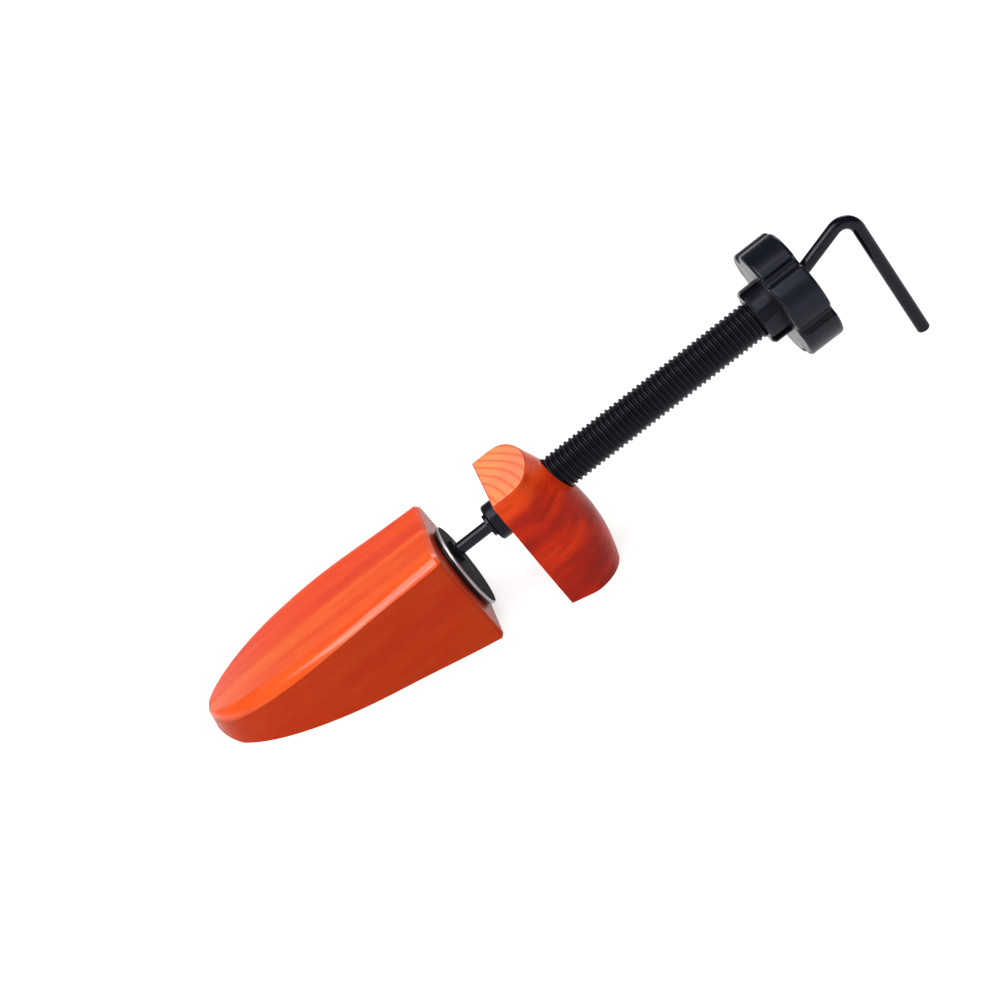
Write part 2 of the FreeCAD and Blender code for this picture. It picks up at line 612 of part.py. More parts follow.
def knob_disc():
    """Six wide lobes with a narrow notch between each two."""
    step = 360 / KNOB_LOBES
    reach = KNOB_DIAMETER / 2
    disc = bar(KNOB_FRONT, KNOB_REAR, KNOB_LOBE_RADIUS * 2)
    lobe_at = Vector(KNOB_FRONT, KNOB_LOBE_RADIUS - reach, 0)
    lobe = Part.makeCylinder(KNOB_LOBE_RADIUS, KNOB_THICKNESS, lobe_at, ALONG)
    lobes = [turned(lobe, KNOB_NOTCH_PHASE + (i + 1 / 2) * step) for i in range(KNOB_LOBES)]
    notch_at = Vector(KNOB_FRONT, KNOB_NOTCH_DEPTH - KNOB_NOTCH_RADIUS - reach, 0)
    notch = Part.makeCylinder(KNOB_NOTCH_RADIUS, KNOB_THICKNESS, notch_at, ALONG)
    notches = [turned(notch, KNOB_NOTCH_PHASE + i * step) for i in range(KNOB_LOBES)]
    body = disc.fuse(lobes).removeSplitter().cut(notches)
    body = body.makeFillet(KNOB_NOTCH_EDGE, lengthwise_edges(body))
    rims = edges_at(body, KNOB_FRONT, KNOB_LOBE_RADIUS) + edges_at(body, KNOB_REAR, KNOB_LOBE_RADIUS)
    return body.makeFillet(KNOB_EDGE, rims)


def knob_hub():
    """A short hub in front of the disc, grooved lengthwise."""
    hub = bar(HUB_FRONT, KNOB_FRONT + KNOB_EDGE, HUB_DIAMETER)
    hub = hub.makeChamfer(HUB_EDGE, edges_at(hub, HUB_FRONT, 0))
    floor = HUB_DIAMETER / 2 - HUB_GROOVE_DEPTH
    groove = block(-OVERRUN, KNOB_FRONT, -OVERRUN, -floor, -HUB_GROOVE_WIDTH / 2, HUB_GROOVE_WIDTH / 2)
    hub = hub.cut([turned(groove, HUB_GROOVE_PHASE + i * 360 / KNOB_LOBES) for i in range(KNOB_LOBES)])
    ridge = HUB_DIAMETER / 2 - TOUCH
    rims = [e for e in lengthwise_edges(hub) if all(math.hypot(p.y, p.z) > ridge for p in e.discretize(5))]
    return hub.makeChamfer(HUB_GROOVE_EDGE, rims)


def knob():
    """The lobed knob and its hub, bored for the tube and recessed behind for the rod's first bend."""
    recess = bar(RECESS_FLOOR, KNOB_REAR + KNOB_RECESS_EDGE * 2, KNOB_RECESS_DIAMETER)
    recess = recess.makeFillet(KNOB_RECESS_EDGE, edges_at(recess, RECESS_FLOOR, 0))
    cuts = [
        recess,
        bar(0, TUBE_REAR, TUBE_DIAMETER + SEAT_GAP * 2),
        bar(0, KNOB_REAR, TUBE_BORE),
    ] + knob_screw_pins(KNOB_SCREW + SEAT_GAP * 2, OVERRUN)
    return to_world(knob_disc().fuse(knob_hub()).removeSplitter().cut(cuts))


def knob_screws():
    outer = HUB_DIAMETER / 2 - HUB_GROOVE_DEPTH - KNOB_SCREW_SUNK
    return to_world(Part.makeCompound(knob_screw_pins(KNOB_SCREW, outer)))


# Heel block
def heel_section(share):
    """D-shaped outline square to w, at a share of the way down: flat front, straight sides, round back."""
    bulge = 1 - ((share - HEEL_BULGE_SHARE) / HEEL_BULGE_SHARE) ** 2
    length = HEEL_LENGTH_TOP + (HEEL_LENGTH_MAX - HEEL_LENGTH_TOP) * bulge
    half = (HEEL_WIDTH_TOP + (HEEL_WIDTH_MAX - HEEL_WIDTH_TOP) * bulge) / 2
    foot = AXIS_HEIGHT / COS_TILT + (HEEL_FRONT + HEEL_LENGTH_MAX) * TAN_TILT
    w = HEEL_TOP_RISE - share * (HEEL_TOP_RISE + foot)
    depth = length - HEEL_SIDE_LENGTH
    corner = HEEL_CORNER_RADIUS
    back = (depth**2 + (half - corner) ** 2 - corner**2) / ((depth - corner) * 2)
    turn_u = HEEL_FRONT + HEEL_SIDE_LENGTH
    back_u = HEEL_FRONT + length - back
    lean = math.atan2(half - corner, turn_u - back_u)
    front_u = HEEL_FRONT - HEEL_TRIM

    def on_corner(angle, side):
        return Vector(turn_u + corner * math.cos(angle), side * (half - corner + corner * math.sin(angle)), w)

    right_start, right_end = Vector(turn_u, half, w), on_corner(lean, 1)
    left_start, left_end = Vector(turn_u, -half, w), on_corner(lean, -1)
    middle = (lean + math.pi / 2) / 2
    return Part.Wire([
        Part.LineSegment(Vector(front_u, -half, w), Vector(front_u, half, w)).toShape(),
        Part.LineSegment(Vector(front_u, half, w), right_start).toShape(),
        Part.Arc(right_start, on_corner(middle, 1), right_end).toShape(),
        Part.Arc(right_end, Vector(HEEL_FRONT + length, 0, w), left_end).toShape(),
        Part.Arc(left_end, on_corner(middle, -1), left_start).toShape(),
        Part.LineSegment(left_start, Vector(front_u, -half, w)).toShape(),
    ])


def heel_screw_place(tool, index):
    """Puts a screw or its hole in the heel nut's flange."""
    placed = tool.copy()
    placed.translate(Vector(HEEL_FRONT, -HEEL_NUT_SCREW_CIRCLE / 2, 0))
    return turned(placed, 90 + index * 360 / HEEL_NUT_SCREWS)


def heel_screw_holes():
    hole = countersunk_hole(
        HEEL_NUT_SCREW, HEEL_NUT_SCREW_HEAD, HEEL_NUT_SCREW_HEAD_DEPTH, HEEL_NUT_SCREW_LENGTH)
    return [heel_screw_place(hole, i) for i in range(HEEL_NUT_SCREWS)]


def heel_block():
    """A heel-shaped block: flat front square to the axis, flat top, rounded and bulging back."""
    body = Part.makeLoft([heel_section(share) for share in HEEL_LEVEL_SHARES], True, False)
    body = body.cut(block(-HALF_SPACE, HEEL_FRONT, -HALF_SPACE, HALF_SPACE, -HALF_SPACE, HALF_SPACE))
    top = [e for e in body.Edges if all(abs(p.z - HEEL_TOP_RISE) < TOUCH for p in e.discretize(5))]
    body = body.makeFillet(HEEL_TOP_EDGE, top)
    flange_rear = HEEL_FRONT + HEEL_NUT_FLANGE_THICKNESS
    body = body.cut([
        bar(0, KNOB_REAR, TUBE_DIAMETER + SIDE_GAP * 2),
        bar(0, HEEL_FRONT + HEEL_NUT_LENGTH, HEEL_NUT_OUTER + SEAT_GAP * 2),
        bar(0, flange_rear, HEEL_NUT_FLANGE + SEAT_GAP * 2),
    ] + heel_screw_holes())
    return to_world(body).cut(below_soles())


def heel_nut():
    """A flanged insert that carries the tube's thread."""
    flange = bar(HEEL_FRONT, HEEL_FRONT + HEEL_NUT_FLANGE_THICKNESS, HEEL_NUT_FLANGE)
    sleeve = bar(HEEL_FRONT, HEEL_FRONT + HEEL_NUT_LENGTH, HEEL_NUT_OUTER)
    cuts = [bar(0, KNOB_REAR, TUBE_DIAMETER + RUN_GAP * 2)] + heel_screw_holes()
    return to_world(flange.fuse(sleeve).cut(cuts))


def heel_nut_screws():
    screw = countersunk_screw(
        HEEL_NUT_SCREW, HEEL_NUT_SCREW_HEAD, HEEL_NUT_SCREW_HEAD_DEPTH, HEEL_NUT_SCREW_LENGTH)
    return to_world(Part.makeCompound([heel_screw_place(screw, i) for i in range(HEEL_NUT_SCREWS)]))


# Assembly
def all_nodes():
    """Every piece by name, with the axis point of the toe block's rear face above the origin."""
    nodes = {
        "toe_carrier": toe_carrier(),
        "thrust_plate": thrust_plate(),
        "plate_screws": plate_screws(),
        "guide_rods": guide_rods(),
        "rod_bush": rod_bush(),
        "spreader_wedge": spreader_wedge(),
        "wedge_nut": wedge_nut(),
        "drive_rod": drive_rod(),
        "carrier_collar": sprung_ring(CARRIER_COLLAR_FRONT, COLLAR_LENGTH, COLLAR_OUTER),
        "front_collar": sprung_ring(FRONT_COLLAR_FRONT, COLLAR_LENGTH, COLLAR_OUTER),
        "rod_clip": sprung_ring(CLIP_FRONT, CLIP_THICKNESS, CLIP_OUTER),
        "threaded_tube": threaded_tube(),
        "front_bush": front_bush(),
        "rear_bush": rear_bush(),
        "knob": knob(),
        "knob_screws": knob_screws(),
        "heel_block": heel_block(),
        "heel_nut": heel_nut(),
        "heel_nut_screws": heel_nut_screws(),
    }
    for name, side in SIDES.items():
        nodes[name + "_toe_block"] = toe_block(side)
        nodes[name + "_ramp"] = ramp(side)
        nodes[name + "_ramp_screws"] = ramp_screws(side)
        nodes[name + "_guide_bushes"] = guide_bushes(side)
    return nodes


def centre_shift(nodes):
    """The move that puts the origin under the middle of the whole object."""
    box = Part.makeCompound(list(nodes.values())).optimalBoundingBox(False, False)
    return Vector(-(box.XMin + box.XMax) / 2, -(box.YMin + box.YMax) / 2, -box.ZMin)


def main():
    os.makedirs("parts", exist_ok=True)
    nodes = all_nodes()
    shift = centre_shift(nodes)
    for name, shape in nodes.items():
        shape.translate(shift)
        shape.exportStep("parts/" + name + ".step")


if __name__ == "__main__":
    main()
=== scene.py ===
import json
import math

import bmesh
import bpy
import numpy as np
from mathutils import Matrix, Vector


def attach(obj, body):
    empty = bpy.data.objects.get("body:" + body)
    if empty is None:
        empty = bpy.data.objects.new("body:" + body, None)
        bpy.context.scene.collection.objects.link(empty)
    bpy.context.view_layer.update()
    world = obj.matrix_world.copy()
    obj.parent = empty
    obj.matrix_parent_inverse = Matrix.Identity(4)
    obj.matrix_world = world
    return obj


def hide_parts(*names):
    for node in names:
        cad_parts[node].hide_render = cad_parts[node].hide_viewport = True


# Dresses the shoe stretcher: a real thread on the tube, recessed screw heads, lacquered wood, black plastic
# and steel, on a pale studio floor. Lengths are in metres, angles in degrees and colours are linear.

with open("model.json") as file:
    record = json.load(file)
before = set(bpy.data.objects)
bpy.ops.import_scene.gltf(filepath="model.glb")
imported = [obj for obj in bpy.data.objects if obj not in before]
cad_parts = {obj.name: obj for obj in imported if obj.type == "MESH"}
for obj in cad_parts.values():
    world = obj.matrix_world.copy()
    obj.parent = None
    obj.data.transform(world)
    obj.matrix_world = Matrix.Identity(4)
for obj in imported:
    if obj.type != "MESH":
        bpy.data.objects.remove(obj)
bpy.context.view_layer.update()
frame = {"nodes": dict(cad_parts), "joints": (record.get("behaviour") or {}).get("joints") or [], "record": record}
nodes = frame["nodes"]

# Camera
CAMERA_PLACE = (-0.03689, -0.63694, 0.32967)
CAMERA_AZIMUTH = 1.115  # to the right of straight across
CAMERA_ELEVATION = 24.064
CAMERA_ROLL = -23.718
CAMERA_LENS = 57.485  # millimetres on the sensor below
CAMERA_SENSOR = 36.0  # millimetres

# Stage
WHITE = (1.0, 1.0, 1.0)
FLOOR_SIZE = 40.0
FLOOR_ALBEDO = 0.5
FLOOR_GLOW = (0.7, 0.9)  # near the object and far off
FLOOR_GLOW_REACH = (0.25, 0.6)  # distances from the object where the glow grows
SKY_LIGHT = (0.42, 0.42, 0.42)  # light from all round
SKY_CEILING = (0.08, 0.08, 0.085)  # what polished tops show
SKY_RISE = (0.03, 0.28)  # sine of the elevation where the white backdrop ends and where the ceiling starts

# Lamps: place, aim, width, height, power in watts, colour
LAMPS = {
    "key": ((-0.4, -0.28, 0.92), (-0.03, 0.0, 0.04), 0.75, 0.6, 6.4, (1.0, 0.985, 0.96)),
    "fill": ((-0.35, -1.1, 0.5), (0.0, 0.0, 0.05), 0.9, 0.5, 1.5, (1.0, 1.0, 1.0)),
    "strip": ((-0.2, -0.5, 0.8), (0.05, 0.0, 0.06), 1.0, 0.02, 1.4, (1.0, 1.0, 1.0)),
    "rim": ((0.55, 0.75, 0.6), (0.05, 0.0, 0.06), 0.4, 0.4, 1.6, (0.96, 0.98, 1.0)),
}

# Tube thread
THREAD_PITCH = 0.0025
THREAD_DEPTH = 0.0009
THREAD_LEAD = 0.007  # plain stretch at the tube's front end
THREAD_START_SHARE = 0.5  # deepening of the thread behind it, per length
THREAD_SEGMENTS = 64  # in one turn
THREAD_SPARE_TURNS = 1  # drawn past each end and cut back to it
THREAD_SHARES = (0.0, 0.2, 0.27, 0.42, 0.48, 0.72, 0.78, 0.93)  # places of the corners in one pitch
THREAD_RISE_SHARES = (0.0, 0.0, 0.1, 0.9, 1.0, 1.0, 0.9, 0.1)  # heights of those corners
TUBE_BEVEL = 0.0008  # at its front end
WELD = 0.000002  # points closer than this are one

# Screw heads
SCREW_SEGMENTS = 40
CROSS_REACH_SHARE = 0.62  # cross recess, of the head's radius
CROSS_HALF_SHARE = 0.13
CROSS_DEPTH_SHARE = 0.5
SOCKET_CORNERS = 6
SOCKET_REACH_SHARE = 0.56  # hexagon socket, of the screw's radius
SOCKET_DEPTH_SHARE = 0.8
RECESS_TAPER_SHARE = 0.8  # bottom of a recess, of its mouth
COUNTERSINK_SHARE = 0.7  # head depth, of the head's radius
SCREW_TIP_SHARE = 0.3
GRUB_BEVEL_SHARE = 0.12

# Wood tones: shaded grain, ground, bright grain, pores; on the toe blocks the pore tone also gives the painted
# shade on the sides
LEFT_TONES = ((0.84, 0.068, 0.006), (0.95, 0.1, 0.011), (1.0, 0.14, 0.02), (0.42, 0.016, 0.002))
RIGHT_TONES = ((0.82, 0.048, 0.004), (0.94, 0.07, 0.006), (1.0, 0.098, 0.012), (0.4, 0.013, 0.002))
HEEL_TONES = ((0.7, 0.04, 0.005), (0.94, 0.082, 0.009), (1.0, 0.115, 0.016), (0.45, 0.02, 0.006))
HEEL_LOW_TONES = ((0.4, 0.017, 0.008), (0.72, 0.03, 0.006), (0.88, 0.05, 0.006))  # lower part of its sides
HEEL_FACE = (1.0, 0.27, 0.13)  # end grain on the heel's top
HEEL_WARM = (0.98, 0.32, 0.12)  # and its yellower patches
HEEL_RING = (0.84, 0.13, 0.045)  # its growth rings

# Wood figure: feature sizes along, across and up
TOE_BAND = (0.11, 0.013, 0.013)
TOE_STREAK = (0.045, 0.0022, 0.0022)
TOE_BLOTCH = (0.012, 0.006, 0.006)
HEEL_BAND = (0.045, 0.03, 0.016)
HEEL_STREAK = (0.03, 0.014, 0.0042)
HEEL_WARP = (0.03, 0.03, 0.03)
PORE = (0.007, 0.0004, 0.0004)
PORE_DEPTH = 0.00002
LEFT_SEED = (0.31, 0.12, 0.2)  # places in the noise where each block's figure lies
RIGHT_SEED = (0.07, 0.4, 0.1)
HEEL_SEED = (0.2, 0.3, 0.4)
RING_SPACING = 0.0045
PITH_AHEAD = 0.0855  # middle of the rings, ahead of the heel's front
PITH_OUT = 0.0055  # and outside its left side
RING_SWAY_SHARE = 0.5  # how far the rings wander, of a ring
RING_FOLD_SHARE = 0.5  # a ring is darkest at both its ends and palest half way
RING_LINE_SHARES = (0.02, 0.24)  # where in a ring its dark line is full and where it ends
RING_WEIGHT = 0.75
HEEL_LOW = (0.008, 0.018)  # depth below the top where the lower tones start and are full
HEEL_LOW_SWAY = 0.012  # how far that depth wanders
FACE_WARP = (0.4, 0.65)  # noise levels of the plain and of the yellower patches
FACE_RANGE = (0.9, 0.98)  # how square to the axis a surface is that shows end grain
BAND_STOPS = (0.32, 0.5, 0.68)  # noise levels of shaded grain, ground and bright grain
STREAK_RANGE = (0.36, 0.58)  # noise levels of a full streak and of none
TOE_STREAK_WEIGHT = 0.2
HEEL_STREAK_WEIGHT = 0.75
BLOTCH_RANGE = (0.45, 0.75)  # noise levels of none and of a full blotch
BLOTCH_WEIGHT = 0.35
PORE_RANGE = (0.28, 0.42)  # noise levels of a full pore and of none
PORE_WEIGHT = 0.3
WOOD_ROUGHNESS = (0.4, 0.28)  # in a streak and beside it
# Toe edges lightened towards the bright grain tone: partly lacquer worn thin, partly painted highlight.
TOE_EDGE_WEAR_AND_HIGHLIGHT = 0.5
HEEL_EDGE_WEIGHT = 0.85
HEEL_EDGE_RANGE = (0.5, 0.62)  # how far up the rounded top edge faces where its line starts and is full
# Painted shade: on the toe blocks, surfaces that face sideways or down are darkened towards the pore tone, fading
# out towards the rounded top edge; the same range thins the lacquer on the sides.
SIDE_SHADE_AND_LACQUER_RANGE = (0.15, 0.5)  # how far up a surface faces, from a block's side to its rounded edge
PAINTED_SIDE_SHADE = 0.66
WOOD_SPECULAR = 0.05
TOE_LACQUER = (0.12, 0.9)  # weight on a block's sides and on its top
HEEL_LACQUER = 0.1
LACQUER_ROUGHNESS = 0.19

# Black finishes
BLACK_CLOUD = (0.02, 0.012, 0.012)
CLOUD_RANGE = (0.3, 0.7)
SATIN_BLACK = (0.005, 0.0054, 0.007)
SATIN_WORN = (0.05, 0.05, 0.054)
SATIN_ROUGHNESS = (0.3, 0.45)
SATIN_GRAIN = (0.0004, 0.0004, 0.0004)
SATIN_DEPTH = 0.00001
SATIN_SPECULAR = 0.22
GLOSS_BLACK = (0.004, 0.0048, 0.0085)
GLOSS_WORN = (0.045, 0.045, 0.047)
GLOSS_ROUGHNESS = (0.26, 0.36)
GLOSS_GRAIN = (0.0012, 0.0012, 0.0012)
GLOSS_DEPTH = 0.000005
GLOSS_SPECULAR = 0.3
BLACK_TINT = (0.78, 0.82, 1.0, 1.0)  # of what black surfaces mirror
BLACK_LIFT = 1.6  # how much paler the cloudy places are
THREAD_BLACK = (0.003, 0.0033, 0.0052)
THREAD_RUBBED = (0.016, 0.0175, 0.027)
THREAD_SPECULAR = 0.15
THREAD_ROUGHNESS = (0.4, 0.22)  # in the root and on the crest
CREST_SHARES = (0.75, 1.0)  # of the thread's height, where rubbing starts and is full
PAINT_BLACK = (0.003, 0.0034, 0.0066)
PAINT_PALE = (0.006, 0.0068, 0.0125)
PAINT_WORN = (0.1, 0.1, 0.1)
PAINT_WORN_WEIGHT = 0.3
PAINT_ROUGHNESS = (0.1, 0.18)
PAINT_RIPPLE = (0.0022, 0.0022, 0.0022)
PAINT_DEPTH = 0.000003
PAINT_COAT = 0.24
PAINT_COAT_ROUGHNESS = 0.06
PAINT_SPECULAR = 0.12
OILED_ROUGHNESS = (0.5, 0.65)
OILED_SPECULAR = 0.08
PLATE_ROUGHNESS = (0.7, 0.45)  # of its face and of its rim
PLATE_SPECULAR = 0.05

# Bare metal
STEEL_LIGHT = (0.72, 0.71, 0.69)
STEEL_DARK = (0.42, 0.42, 0.42)
STEEL_LINES = (0.0004, 0.004, 0.0004)
STEEL_ROUGHNESS = (0.2, 0.36)
BRONZE_LIGHT = (0.62, 0.4, 0.19)
BRONZE_DARK = (0.36, 0.22, 0.1)
BRONZE_LINES = (0.0005, 0.0005, 0.0005)
BRONZE_ROUGHNESS = (0.3, 0.5)
METAL_CLOUD = (0.006, 0.006, 0.006)
METAL_DEPTH = 0.000008
PLATE_BARE = (0.5, 0.5, 0.49)
PLATE_RIM = 0.0006  # width of the plate's bare rim
PLATE_RIM_BLUR = 0.0001

# Noise and wear
SOFT = 2.0  # octaves of soft noise
FINE = 4.0  # octaves of fine noise
EDGE_RADIUS = 0.0005  # how far wear reaches in from an edge
EDGE_SAMPLES = 6
EDGE_RANGE = (0.8, 0.985)  # agreement of rounded and true normal, from worn to plain

# Sockets of a colour mix: its factor and two colours, and its result
MIX_INPUTS = (0, 6, 7)
MIX_RESULT = 2


# The tube's axis
def axis_frame():
    """A point on the axis, and the directions along it to the rear, across and up from both."""
    joint = next(j for j in frame["joints"] if j["name"] == "knob_turn")
    along = -Vector(joint["axis"]).normalized()
    across = Vector((0, 1, 0))
    return Vector(joint["pos_m"]), along, across, along.cross(across)


AXIS_POINT, ALONG, ACROSS, UPWARD = axis_frame()
AXIS_TILT = math.atan2(ALONG.z, ALONG.x)


def axis_points(name):
    """A node's points in the axis frame: along, across and up."""
    points = np.array([v.co for v in nodes[name].data.vertices]) - np.array(AXIS_POINT)
    return points @ np.array([ALONG, ACROSS, UPWARD]).T


def axis_span(name):
    """Where a round node starts and ends along the axis, and its least and greatest radius."""
    along, across, up = axis_points(name).T
    radius = np.hypot(across, up)
    return along.min(), along.max(), radius.min(), radius.max()


def from_axis(along, across, up):
    """A point in the row frame."""
    return AXIS_POINT + ALONG * along + ACROSS * across + UPWARD * up


def axis_place(along, radius, turn):
    """A point at a place along the axis, a radius and an angle about it, right-handed."""
    return from_axis(along, radius * math.cos(turn), radius * math.sin(turn))


# Pieces
def piece(name, mesh, body, material, replaced):
    """Makes an object of a mesh, rides it on a body and lets it stand for a node."""
    data = bpy.data.meshes.new(name)
    mesh.to_mesh(data)
    mesh.free()
    made = bpy.data.objects.new(name, data)
    bpy.context.scene.collection.objects.link(made)
    data.materials.append(material)
    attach(made, body)
    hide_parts(replaced)


def thread_radius(along, rise, front, rear, outer):
    """Radius of the thread's surface: it starts behind a plain stretch and runs out at the rear end."""
    depth = min(max(along - front - THREAD_LEAD, 0) * THREAD_START_SHARE, THREAD_DEPTH)
    bevelled = outer - TUBE_BEVEL + along - front
    return min(outer - depth * (1 - rise), bevelled, outer - THREAD_DEPTH + rear - along)


def thread_column(mesh, crest, lap, front, rear, outer):
    """Points of the thread's surface on one line along the tube, a share of a turn round it."""
    corners = len(THREAD_SHARES)
    turns = math.ceil((rear - front) / THREAD_PITCH) + THREAD_SPARE_TURNS * 2
    column = []
    for i in range(turns * corners):
        share = i // corners - THREAD_SPARE_TURNS + THREAD_SHARES[i % corners] + lap
        along = min(max(front + THREAD_PITCH * share, front), rear)
        radius = thread_radius(along, THREAD_RISE_SHARES[i % corners], front, rear, outer)
        vert = mesh.verts.new(axis_place(along, radius, math.tau * lap))
        vert[crest] = (radius - outer + THREAD_DEPTH) / THREAD_DEPTH
        column.append(vert)
    return column


def thread_mesh():
    """A right-handed thread on a tube, with its bore and both ends."""
    front, rear, bore, outer = axis_span("threaded_tube")
    mesh = bmesh.new()
    crest = mesh.verts.layers.float.new("crest")
    columns = []
    for j in range(THREAD_SEGMENTS):
        lap = j / THREAD_SEGMENTS
        column = thread_column(mesh, crest, lap, front, rear, outer)
        ends = [mesh.verts.new(axis_place(end, bore, math.tau * lap)) for end in (front, rear)]
        columns.append((column, ends))
    for j, (column, ends) in enumerate(columns):
        following, following_ends = columns[(j + 1) % THREAD_SEGMENTS]
        step = len(THREAD_SHARES) if j + 1 == THREAD_SEGMENTS else 0
        rows = len(column) - step
        for i in range(rows - 1):
            mesh.faces.new((column[i], column[i + 1], following[i + 1 + step], following[i + step]))
        mesh.faces.new((ends[0], column[0], following[0], following_ends[0]))
        mesh.faces.new((column[-1], ends[1], following_ends[1], following[-1]))
        mesh.faces.new((ends[1], ends[0], following_ends[0], following_ends[1]))
    bmesh.ops.remove_doubles(mesh, verts=mesh.verts, dist=WELD)
    bmesh.ops.recalc_face_normals(mesh, faces=mesh.faces)
    for face in mesh.faces:
        face.smooth = True
    return mesh


def islands(name):
    """The separate solids of a node, each as an array of points."""
    mesh = bmesh.new()
    mesh.from_mesh(nodes[name].data)
    bmesh.ops.remove_doubles(mesh, verts=mesh.verts, dist=WELD)
    left = set(mesh.verts)
    found = []
    while left:
        todo = [left.pop()]
        island = []
        while todo:
            vert = todo.pop()
            island.append(tuple(vert.co))
            neighbours = [edge.other_vert(vert) for edge in vert.link_edges]
            fresh = [other for other in neighbours if other in left]
            left.difference_update(fresh)
            todo.extend(fresh)
        found.append(np.array(sorted(island)))
    mesh.free()
    return sorted(found, key=lambda points: tuple(points.mean(0)))


def countersunk_site(points):
    """Head centre, direction out of the head, length, head and shank radius of a countersunk screw."""
    centre = (points.min(0) + points.max(0)) / 2
    _, _, directions = np.linalg.svd(points - points.mean(0))
    direction = directions[0]
    along = (points - centre) @ direction
    radius = np.linalg.norm(points - centre - np.outer(along, direction), axis=1)
    if along[radius.argmax()] < 0:
        direction, along = -direction, -along
    length = along.max() - along.min()
    shank = radius[along < along.max() - length / 2].max()
    return Vector(centre + direction * along.max()), Vector(direction), length, radius.max(), shank


def grub_site(points):
    """Outer face, direction outwards, length and radius of a grub screw square to the axis."""
    centre = Vector((points.min(0) + points.max(0)) / 2)
    offset = centre - AXIS_POINT
    direction = (offset - ALONG * offset.dot(ALONG)).normalized()
    along = (points - np.array(centre)) @ np.array(direction)
    radius = np.linalg.norm(points - np.array(centre) - np.outer(along, np.array(direction)), axis=1)
    return centre + direction * along.max(), direction, along.max() - along.min(), radius.max()


def cross_outline(reach, half):
    """The outline of a cross recess."""
    arm = [(reach, -half), (reach, half), (half, half)]
    turns = [(1, 0), (0, 1), (-1, 0), (0, -1)]
    return [(x * c - y * s, x * s + y * c) for c, s in turns for x, y in arm]


def polygon(corners, reach):
    """Corners of an even polygon."""
    turns = [math.tau * i / corners for i in range(corners)]
    return [(reach * math.cos(turn), reach * math.sin(turn)) for turn in turns]


def ring_of(mesh, points, height, scale):
    """Points of an outline, scaled and lifted."""
    return [mesh.verts.new((x * scale, y * scale, height)) for x, y in points]


def wall_between(mesh, upper, lower):
    """Faces from one closed ring of points to the next."""
    count = len(upper)
    for i in range(count):
        following = (i + 1) % count
        mesh.faces.new((upper[i], lower[i], lower[following], upper[following]))


def add_screw(mesh, place, direction, profile, outline, depth):
    """Adds a turned screw with a recess in its head. The profile runs from the head's rim to the tip."""
    circle = polygon(SCREW_SEGMENTS, 1)
    part = bmesh.new()
    rings = [ring_of(part, circle, height, radius) for height, radius in profile]
    for upper, lower in zip(rings, rings[1:]):
        wall_between(part, upper, lower)
    part.faces.new(rings[-1])
    mouth = ring_of(part, outline, 0, 1)
    bottom = ring_of(part, outline, -depth, RECESS_TAPER_SHARE)
    wall_between(part, mouth, bottom)
    part.faces.new(bottom)
    rim = [part.edges.get((a, b)) for a, b in zip(rings[0], rings[0][1:] + rings[0][:1])]
    lip = [part.edges.get((a, b)) for a, b in zip(mouth, mouth[1:] + mouth[:1])]
    bmesh.ops.triangle_fill(part, edges=rim + lip, use_beauty=True)
    bmesh.ops.recalc_face_normals(part, faces=part.faces)
    turn = direction.to_track_quat("Z", "Y").to_matrix().to_4x4()
    part.transform(Matrix.Translation(place) @ turn)
    data = bpy.data.meshes.new("screw")
    part.to_mesh(data)
    part.free()
    mesh.from_mesh(data)
    bpy.data.meshes.remove(data)


def countersunk_screws(name):
    """Countersunk screws with cross recesses, where the node's screws are."""
    mesh = bmesh.new()
    for points in islands(name):
        place, direction, length, head, shank = countersunk_site(points)
        depth = head * COUNTERSINK_SHARE
        profile = [(0, head), (-depth, shank), (shank - length, shank), (-length, shank * SCREW_TIP_SHARE)]
        outline = cross_outline(head * CROSS_REACH_SHARE, head * CROSS_HALF_SHARE)
        add_screw(mesh, place, direction, profile, outline, head * CROSS_DEPTH_SHARE)
    return mesh


def grub_screws(name):
    """Grub screws with hexagon sockets, where the node's screws are."""
    mesh = bmesh.new()
    for points in islands(name):
        place, direction, length, radius = grub_site(points)
        bevel = radius * GRUB_BEVEL_SHARE
        end = radius - bevel
        profile = [(0, end), (-bevel, radius), (bevel - length, radius), (-length, end)]
        outline = polygon(SOCKET_CORNERS, radius * SOCKET_REACH_SHARE)
        add_screw(mesh, place, direction, profile, outline, radius * SOCKET_DEPTH_SHARE)
    return mesh


# Shader helpers
def node(tree, kind, inputs=None, **settings):
    """Adds a shader node, sets it and links or fills its inputs."""
    made = tree.nodes.new(kind)
    for key, value in settings.items():
        setattr(made, key, value)
    for key, value in (inputs or {}).items():
        if isinstance(value, bpy.types.NodeSocket):
            tree.links.new(value, made.inputs[key])
        else:
            made.inputs[key].default_value = value
    return made


def new_material(name):
    """An empty material: itself, its tree and its shader."""
    made = bpy.data.materials.new(name)
    made.use_nodes = True
    tree = made.node_tree
    return made, tree, tree.nodes["Principled BSDF"]


def place_in(tree, size, origin):
    """Surface places in the axis frame, measured in a feature size along, across and up."""
    where = node(tree, "ShaderNodeTexCoord").outputs["Object"]
    mapping = node(tree, "ShaderNodeMapping", {
        "Vector": where, "Location": origin, "Rotation": (0, -AXIS_TILT, 0), "Scale": size,
    }, vector_type="TEXTURE")
    return mapping.outputs["Vector"]


def noise(tree, size, octaves, seed=(0, 0, 0)):
    """Cloudy noise of a feature size."""
    place = place_in(tree, size, seed)
    made = node(tree, "ShaderNodeTexNoise", {"Vector": place, "Scale": 1, "Detail": octaves})
    return made.outputs["Fac"]


def fade(tree, value, given, wanted=(0, 1)):
    """Maps a value from one range to another, and stops at the ends."""
    start, stop = given
    first, last = wanted
    made = node(tree, "ShaderNodeMapRange", {
        "Value": value, "From Min": start, "From Max": stop, "To Min": first, "To Max": last,
    })
    return made.outputs["Result"]


